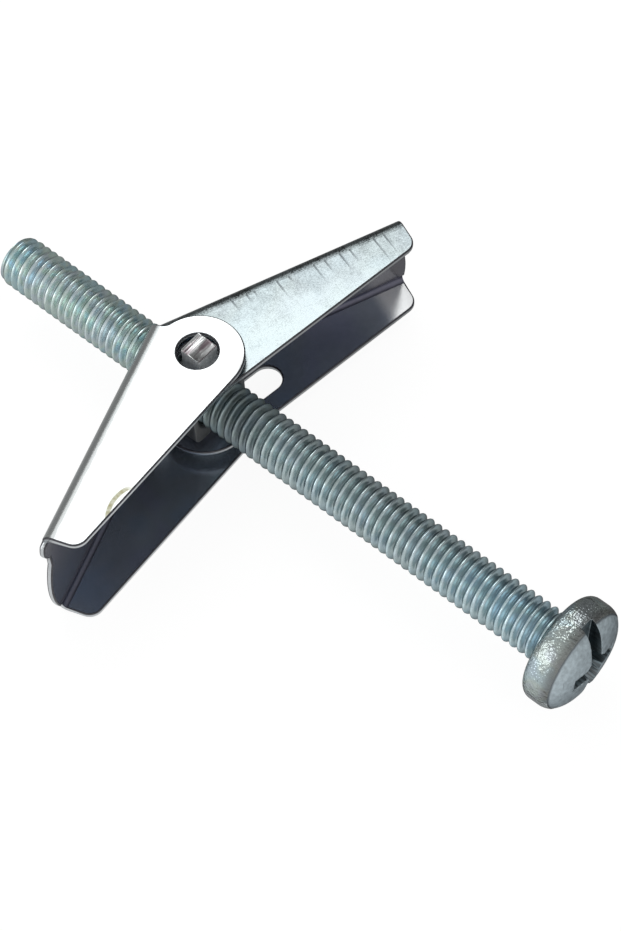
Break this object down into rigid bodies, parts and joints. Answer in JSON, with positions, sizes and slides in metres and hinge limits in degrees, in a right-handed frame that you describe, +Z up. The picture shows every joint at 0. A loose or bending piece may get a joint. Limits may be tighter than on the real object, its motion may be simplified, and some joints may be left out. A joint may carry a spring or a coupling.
{
  "type": "spring toggle bolt",
  "caption": "Spring toggle bolt: zinc-plated machine screw with a domed slot-and-cross head, carrying a trunnion nut with nested folded sheet wings that a wire spring opens.",
  "frame": {"origin": "under the middle of the part's box, on the plane that the outer wing's lower flange lies on", "axes": "+X along the screw towards its head, +Z up along the wings' pivot, +Y towards the inner wing"},
  "size_m": [0.0798, 0.0553, 0.0153],
  "materials": {
    "screw_zinc": "bright zinc plate, blue passivated",
    "nut_zinc": "zinc plate, sheared faces",
    "outer_wing_zinc": "bright zinc plate on sheet",
    "inner_wing_zinc": "bright zinc plate on sheet, scratched",
    "spring_wire": "bright drawn spring wire"
  },
  "bodies": {
    "screw": {"machine_screw": "screw_zinc"},
    "nut": {"trunnion_nut": "nut_zinc", "torsion_spring": "spring_wire"},
    "outer_wing": {"outer_wing": "outer_wing_zinc"},
    "inner_wing": {"inner_wing": "inner_wing_zinc"}
  },
  "joints": [
    {"name": "nut_travel", "type": "slide", "parent": "screw", "child": "nut", "axis": [1, 0, 0], "range_m": [-0.024, 0.019]},
    {"name": "outer_wing_hinge", "type": "hinge", "parent": "nut", "child": "outer_wing", "pos_m": [-0.01255, 0, 0.00745], "axis": [0, 0, 1], "range_deg": [0, 74], "stiffness_Nm_per_rad": 0.012, "springref_deg": -85.94, "deforming": ["torsion_spring"]},
    {"name": "inner_wing_hinge", "type": "hinge", "parent": "nut", "child": "inner_wing", "pos_m": [-0.01255, 0, 0.00745], "axis": [0, 0, -1], "range_deg": [0, 71], "stiffness_Nm_per_rad": 0.012, "springref_deg": -85.94, "deforming": ["torsion_spring"]}
  ]
}
